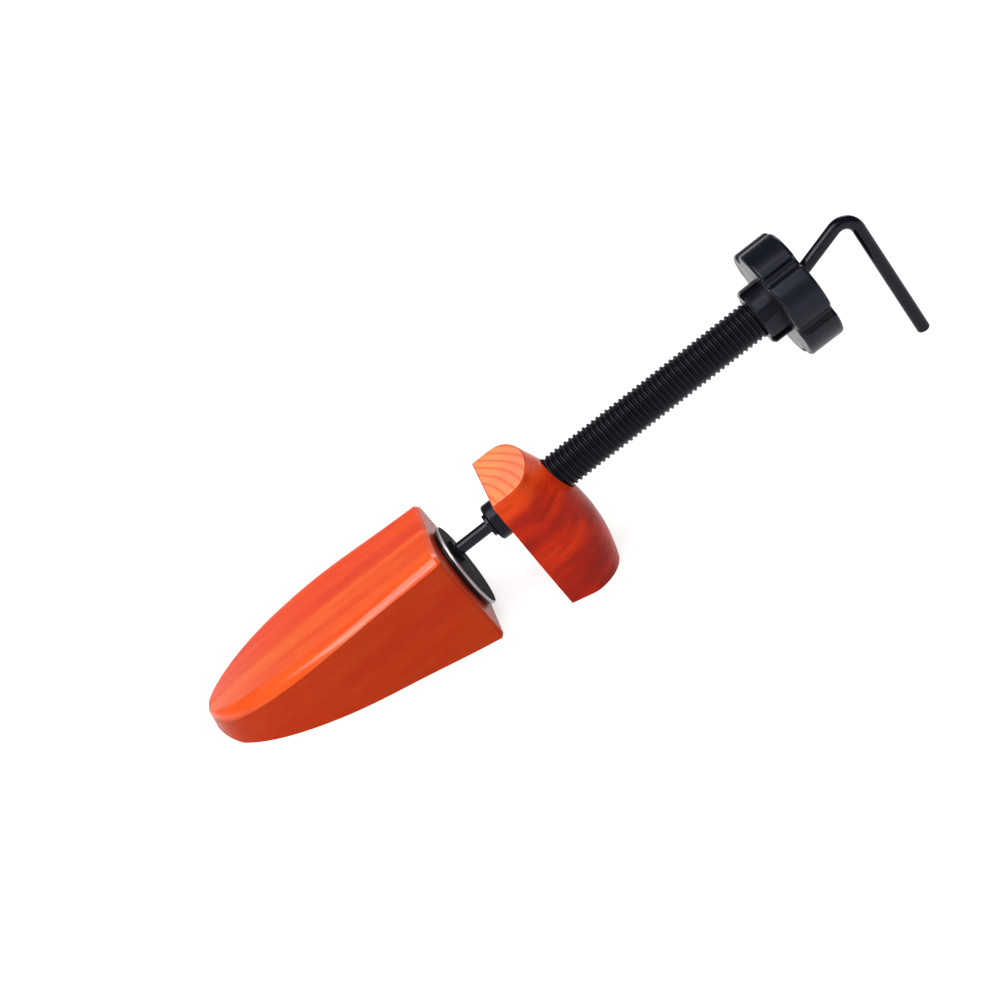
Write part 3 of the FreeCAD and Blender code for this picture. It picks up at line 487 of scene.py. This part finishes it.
def ramp(tree, factor, places, colours):
    """Colours by a factor."""
    made = node(tree, "ShaderNodeValToRGB", {"Fac": factor})
    stops = made.color_ramp.elements
    while len(stops) < len(colours):
        stops.new(0)
    for stop, place, colour in zip(stops, places, colours):
        stop.position = place
        stop.color = (*colour, 1)
    return made.outputs["Color"]


def mix(tree, factor, first, second):
    """Mixes two colours, each linked or written out."""
    colours = [(*value, 1) if isinstance(value, tuple) else value for value in (first, second)]
    inputs = dict(zip(MIX_INPUTS, (factor, *colours)))
    return node(tree, "ShaderNodeMix", inputs, data_type="RGBA").outputs[MIX_RESULT]


def math_of(tree, operation, first, second=0):
    """One sum on two values."""
    return node(tree, "ShaderNodeMath", {0: first, 1: second}, operation=operation).outputs[0]


def vector_of(tree, operation, first, second, result):
    """One sum on two vectors."""
    return node(tree, "ShaderNodeVectorMath", {0: first, 1: second}, operation=operation).outputs[result]


def distance_from(tree, origin, directions):
    """Distance from a line or point; directions are one where a distance counts, along, across and up."""
    offset = vector_of(tree, "MULTIPLY", place_in(tree, (1, 1, 1), origin), directions, "Vector")
    return vector_of(tree, "LENGTH", offset, (0, 0, 0), "Value")


def facing_up(tree):
    """How far a surface faces up from the axis, from minus one to one."""
    normal = node(tree, "ShaderNodeTexCoord").outputs["Normal"]
    return vector_of(tree, "DOT_PRODUCT", normal, UPWARD, "Value")


def edge_wear(tree):
    """One on sharp edges, falling to zero on flat ground."""
    soft = node(tree, "ShaderNodeBevel", {"Radius": EDGE_RADIUS}, samples=EDGE_SAMPLES).outputs["Normal"]
    hard = node(tree, "ShaderNodeNewGeometry").outputs["Normal"]
    return fade(tree, vector_of(tree, "DOT_PRODUCT", soft, hard, "Value"), EDGE_RANGE, (1, 0))


def finish(tree, shader, colour, roughness, height, depth):
    """Joins a colour, a roughness and a height of a real depth to the shader."""
    bump = node(tree, "ShaderNodeBump", {"Height": height, "Distance": depth, "Strength": 1})
    tree.links.new(colour, shader.inputs["Base Color"])
    tree.links.new(roughness, shader.inputs["Roughness"])
    tree.links.new(bump.outputs["Normal"], shader.inputs["Normal"])


def coat(tree, shader, weight, roughness):
    """A clear coat, of one weight or of a weight that varies."""
    if isinstance(weight, bpy.types.NodeSocket):
        tree.links.new(weight, shader.inputs["Coat Weight"])
    else:
        shader.inputs["Coat Weight"].default_value = weight
    shader.inputs["Coat Roughness"].default_value = roughness


def black_gloss(shader, specular):
    """How strongly a black surface mirrors, and in what tint."""
    shader.inputs["Specular IOR Level"].default_value = specular
    shader.inputs["Specular Tint"].default_value = BLACK_TINT


# Materials
def grain(tree, tones, band_size, streak_size, streak_weight, seed):
    """Bands of three tones with darker streaks: the colour and the streaks."""
    band = noise(tree, band_size, SOFT, seed)
    streak = noise(tree, streak_size, FINE, seed)
    shaded, ground, bright, *_ = tones
    colour = ramp(tree, band, BAND_STOPS, (shaded, ground, bright))
    colour = mix(tree, fade(tree, streak, STREAK_RANGE, (streak_weight, 0)), colour, shaded)
    return colour, streak


def lacquer(tree, shader, colour, streak, edge, edge_tone, pore_tone, seed, weight):
    """Adds pores and toned edges under a clear lacquer."""
    pore = noise(tree, PORE, SOFT, seed)
    colour = mix(tree, fade(tree, pore, PORE_RANGE, (PORE_WEIGHT, 0)), colour, pore_tone)
    colour = mix(tree, edge, colour, edge_tone)
    finish(tree, shader, colour, fade(tree, streak, STREAK_RANGE, WOOD_ROUGHNESS), pore, PORE_DEPTH)
    shader.inputs["Specular IOR Level"].default_value = WOOD_SPECULAR
    coat(tree, shader, weight, LACQUER_ROUGHNESS)


def toe_wood(name, seed, tones):
    """Lacquered wood whose grain runs along the block, with painted shade on its sides and underside, and edges
    lightened partly as wear and partly as painted highlight.
    """
    made, tree, shader = new_material(name)
    *_, bright, dark = tones
    colour, streak = grain(tree, tones, TOE_BAND, TOE_STREAK, TOE_STREAK_WEIGHT, seed)
    blotch = noise(tree, TOE_BLOTCH, SOFT, seed)
    colour = mix(tree, fade(tree, blotch, BLOTCH_RANGE, (0, BLOTCH_WEIGHT)), colour, bright)
    up = facing_up(tree)
    # Painted shade: the sides and underside are mixed towards the pore tone, less as the surface turns up.
    colour = mix(tree, fade(tree, up, SIDE_SHADE_AND_LACQUER_RANGE, (PAINTED_SIDE_SHADE, 0)), colour, dark)
    weight = fade(tree, up, SIDE_SHADE_AND_LACQUER_RANGE, TOE_LACQUER)
    # Edges lightened towards the bright tone: partly wear, partly painted highlight.
    edge = math_of(tree, "MULTIPLY", edge_wear(tree), TOE_EDGE_WEAR_AND_HIGHLIGHT)
    lacquer(tree, shader, colour, streak, edge, bright, dark, seed, weight)
    return made


def end_grain(tree, pith, warp):
    """Growth rings about the pith on a ground with yellower patches."""
    rings = math_of(tree, "DIVIDE", distance_from(tree, pith, (1, 1, 0)), RING_SPACING)
    rings = math_of(tree, "ADD", rings, math_of(tree, "MULTIPLY", warp, RING_SWAY_SHARE))
    place = math_of(tree, "PINGPONG", rings, RING_FOLD_SHARE)
    ground = mix(tree, fade(tree, warp, FACE_WARP), HEEL_FACE, HEEL_WARM)
    return mix(tree, fade(tree, place, RING_LINE_SHARES, (RING_WEIGHT, 0)), ground, HEEL_RING)


def heel_wood(name, seed, tones):
    """Lacquered wood, redder low down, with end grain on the top face and a dark line round it."""
    made, tree, shader = new_material(name)
    *_, dark = tones
    along, across, up = axis_points("heel_block").T
    pith = from_axis(along.min() - PITH_AHEAD, across.min() - PITH_OUT, up.max())
    warp = noise(tree, HEEL_WARP, SOFT, seed)
    face = end_grain(tree, pith, warp)
    high, streak = grain(tree, tones, HEEL_BAND, HEEL_STREAK, HEEL_STREAK_WEIGHT, seed)
    low, _ = grain(tree, HEEL_LOW_TONES, HEEL_BAND, HEEL_STREAK, HEEL_STREAK_WEIGHT, seed)
    sway = math_of(tree, "MULTIPLY", warp, HEEL_LOW_SWAY)
    depth = math_of(tree, "ADD", distance_from(tree, pith, (0, 0, 1)), sway)
    side = mix(tree, fade(tree, depth, HEEL_LOW), high, low)
    facing = facing_up(tree)
    colour = mix(tree, fade(tree, facing, FACE_RANGE), side, face)
    beside = fade(tree, facing, FACE_RANGE, (HEEL_EDGE_WEIGHT, 0))
    edge = math_of(tree, "MULTIPLY", beside, fade(tree, facing, HEEL_EDGE_RANGE))
    lacquer(tree, shader, colour, streak, edge, dark, dark, seed, HEEL_LACQUER)
    return made


def black_plastic(name, base, worn, roughness, grain_size, depth, specular):
    """Moulded black plastic: fine grain, uneven gloss and paler edges."""
    made, tree, shader = new_material(name)
    cloud = noise(tree, BLACK_CLOUD, SOFT)
    wear = math_of(tree, "MULTIPLY", edge_wear(tree), cloud)
    colour = mix(tree, cloud, base, tuple(c * BLACK_LIFT for c in base))
    colour = mix(tree, wear, colour, worn)
    gloss = fade(tree, cloud, CLOUD_RANGE, roughness)
    finish(tree, shader, colour, gloss, noise(tree, grain_size, SOFT), depth)
    black_gloss(shader, specular)
    return made


def thread_plastic(name):
    """Black plastic of the thread, rubbed paler on its crests and dull in its roots."""
    made, tree, shader = new_material(name)
    crest = node(tree, "ShaderNodeAttribute", attribute_name="crest").outputs["Fac"]
    cloud = noise(tree, BLACK_CLOUD, SOFT)
    rubbed = math_of(tree, "MULTIPLY", fade(tree, crest, CREST_SHARES), cloud)
    colour = mix(tree, rubbed, THREAD_BLACK, THREAD_RUBBED)
    roughness = fade(tree, crest, CREST_SHARES, THREAD_ROUGHNESS)
    finish(tree, shader, colour, roughness, noise(tree, SATIN_GRAIN, SOFT), SATIN_DEPTH)
    black_gloss(shader, THREAD_SPECULAR)
    return made


def black_skin(tree, roughness):
    """A black finish on steel, worn at the edges: its colour, roughness and ripple."""
    cloud = noise(tree, BLACK_CLOUD, SOFT)
    colour = mix(tree, cloud, PAINT_BLACK, PAINT_PALE)
    wear = math_of(tree, "MULTIPLY", edge_wear(tree), PAINT_WORN_WEIGHT)
    colour = mix(tree, wear, colour, PAINT_WORN)
    return colour, fade(tree, cloud, CLOUD_RANGE, roughness), noise(tree, PAINT_RIPPLE, SOFT)


def black_steel(name, roughness, specular, weight):
    """Black steel with a faint ripple, under a coat of some weight."""
    made, tree, shader = new_material(name)
    finish(tree, shader, *black_skin(tree, roughness), PAINT_DEPTH)
    black_gloss(shader, specular)
    coat(tree, shader, weight, PAINT_COAT_ROUGHNESS)
    return made


def plate_steel(name):
    """Black painted plate with a bare bright rim."""
    made, tree, shader = new_material(name)
    along, across, up = axis_points("thrust_plate").T
    middle = from_axis(along.mean(), 0, (up.min() + up.max()) / 2)
    bare_from = across.max() - PLATE_RIM
    rim = fade(tree, distance_from(tree, middle, (0, 1, 1)), (bare_from - PLATE_RIM_BLUR, bare_from))
    colour, _, ripple = black_skin(tree, PAINT_ROUGHNESS)
    roughness = fade(tree, rim, (0, 1), PLATE_ROUGHNESS)
    finish(tree, shader, mix(tree, rim, colour, PLATE_BARE), roughness, ripple, PAINT_DEPTH)
    tree.links.new(rim, shader.inputs["Metallic"])
    shader.inputs["Specular IOR Level"].default_value = PLATE_SPECULAR
    return made


def bright_metal(name, light, dark, lines_size, roughness):
    """Bare metal with drawn or turned lines and dull patches."""
    made, tree, shader = new_material(name)
    lines = noise(tree, lines_size, FINE)
    dull = math_of(tree, "MULTIPLY", lines, noise(tree, METAL_CLOUD, SOFT))
    colour = mix(tree, dull, light, dark)
    finish(tree, shader, colour, fade(tree, lines, CLOUD_RANGE, roughness), lines, METAL_DEPTH)
    shader.inputs["Metallic"].default_value = 1
    return made


def dress_nodes():
    """Gives every node the material of its slot, or one of its own."""
    oiled = black_steel("oiled_steel", OILED_ROUGHNESS, OILED_SPECULAR, 0)
    slots = {
        "black_plastic": black_plastic(
            "black_plastic", SATIN_BLACK, SATIN_WORN, SATIN_ROUGHNESS, SATIN_GRAIN, SATIN_DEPTH,
            SATIN_SPECULAR),
        "gloss_black_plastic": black_plastic(
            "gloss_black_plastic", GLOSS_BLACK, GLOSS_WORN, GLOSS_ROUGHNESS, GLOSS_GRAIN, GLOSS_DEPTH,
            GLOSS_SPECULAR),
        "black_steel": black_steel("black_steel", PAINT_ROUGHNESS, PAINT_SPECULAR, PAINT_COAT),
        "bright_steel": bright_metal("bright_steel", STEEL_LIGHT, STEEL_DARK, STEEL_LINES, STEEL_ROUGHNESS),
        "bronze": bright_metal("bronze", BRONZE_LIGHT, BRONZE_DARK, BRONZE_LINES, BRONZE_ROUGHNESS),
    }
    special = {
        "left_toe_block": toe_wood("left_wood", LEFT_SEED, LEFT_TONES),
        "right_toe_block": toe_wood("right_wood", RIGHT_SEED, RIGHT_TONES),
        "heel_block": heel_wood("heel_wood", HEEL_SEED, HEEL_TONES),
        "thrust_plate": plate_steel("plate_steel"),
        "plate_screws": oiled,
        "carrier_collar": oiled,
    }
    for part in frame["record"]["subparts"]:
        name = part["node"]
        materials = nodes[name].data.materials
        materials.clear()
        materials.append(special.get(name) or slots[part["material_slot"]])


def add_pieces():
    """The thread and the screws, each screw in its node's material."""
    thread = thread_plastic("thread_plastic")
    piece("tube_thread", thread_mesh(), "screw_tube", thread, "threaded_tube")
    screws = {
        "heel_nut_screws": ("heel", "bright_steel", countersunk_screws),
        "left_ramp_screws": ("left_toe", "bright_steel", countersunk_screws),
        "right_ramp_screws": ("right_toe", "bright_steel", countersunk_screws),
        "plate_screws": ("toe_carrier", "black_steel", countersunk_screws),
        "knob_screws": ("screw_tube", "black_steel", grub_screws),
    }
    for name, (body, slot, mesh_of) in screws.items():
        piece(name + "_cut", mesh_of(name), body, nodes[name].data.materials[0], name)


# Stage
def white_to_rays(tree):
    """One for rays that see the background: straight from the camera, or by a mirror or glass."""
    path = node(tree, "ShaderNodeLightPath").outputs
    seen = math_of(tree, "MAXIMUM", path["Is Camera Ray"], path["Is Glossy Ray"])
    return math_of(tree, "MAXIMUM", seen, path["Is Transmission Ray"])


def pale_floor(name):
    """A matt ground that takes shadows, with a white glow where it is seen, stronger far off."""
    made, tree, shader = new_material(name)
    tree.nodes.remove(shader)
    matt = node(tree, "ShaderNodeBsdfDiffuse", {"Color": (FLOOR_ALBEDO, FLOOR_ALBEDO, FLOOR_ALBEDO, 1)})
    where = node(tree, "ShaderNodeTexCoord").outputs["Object"]
    distance = vector_of(tree, "LENGTH", where, (0, 0, 0), "Value")
    level = fade(tree, distance, FLOOR_GLOW_REACH, FLOOR_GLOW)
    strength = math_of(tree, "MULTIPLY", white_to_rays(tree), level)
    glow = node(tree, "ShaderNodeEmission", {"Color": (*WHITE, 1), "Strength": strength})
    both = node(tree, "ShaderNodeAddShader", {0: matt.outputs[0], 1: glow.outputs[0]})
    tree.links.new(both.outputs[0], tree.nodes["Material Output"].inputs["Surface"])
    return made


def floor():
    """A pale floor that keeps the object's shadow."""
    mesh = bmesh.new()
    bmesh.ops.create_grid(mesh, x_segments=1, y_segments=1, size=FLOOR_SIZE / 2)
    data = bpy.data.meshes.new("floor")
    mesh.to_mesh(data)
    mesh.free()
    made = bpy.data.objects.new("floor", data)
    bpy.context.scene.collection.objects.link(made)
    data.materials.append(pale_floor("floor"))


def sky():
    """Soft light from all round; where it is seen, a white backdrop under a dim ceiling."""
    world = bpy.data.worlds.new("studio")
    bpy.context.scene.world = world
    world.use_nodes = True
    tree = world.node_tree
    direction = node(tree, "ShaderNodeTexCoord").outputs["Generated"]
    height = vector_of(tree, "DOT_PRODUCT", direction, (0, 0, 1), "Value")
    seen = mix(tree, fade(tree, height, SKY_RISE), WHITE, SKY_CEILING)
    colour = mix(tree, white_to_rays(tree), SKY_LIGHT, seen)
    tree.links.new(colour, tree.nodes["Background"].inputs["Color"])


def lamps():
    """Soft rectangular lamps, each turned to its aim."""
    for name, (place, aim, width, height, power, colour) in LAMPS.items():
        data = bpy.data.lights.new(name, "AREA")
        data.shape = "RECTANGLE"
        data.size = width
        data.size_y = height
        data.energy = power
        data.color = colour
        made = bpy.data.objects.new(name, data)
        made.location = place
        made.rotation_euler = (Vector(aim) - Vector(place)).to_track_quat("-Z", "Y").to_euler()
        bpy.context.scene.collection.objects.link(made)


def camera():
    """A camera that looks across the object from its left, rolled to the side."""
    azimuth, elevation, roll = (math.radians(a) for a in (CAMERA_AZIMUTH, CAMERA_ELEVATION, CAMERA_ROLL))
    ahead = Vector((
        math.sin(azimuth) * math.cos(elevation),
        math.cos(azimuth) * math.cos(elevation),
        -math.sin(elevation),
    ))
    level = Vector((math.cos(azimuth), -math.sin(azimuth), 0))
    upright = level.cross(ahead)
    right = level * math.cos(roll) + upright * math.sin(roll)
    up = upright * math.cos(roll) - level * math.sin(roll)
    data = bpy.data.cameras.new("camera")
    data.lens = CAMERA_LENS
    data.sensor_width = CAMERA_SENSOR
    made = bpy.data.objects.new("camera", data)
    made.matrix_world = Matrix.Translation(CAMERA_PLACE) @ Matrix((right, up, -ahead)).transposed().to_4x4()
    bpy.context.scene.collection.objects.link(made)
    bpy.context.scene.camera = made


bpy.context.scene.view_settings.view_transform = "Standard"
dress_nodes()
add_pieces()
floor()
sky()
lamps()
camera()
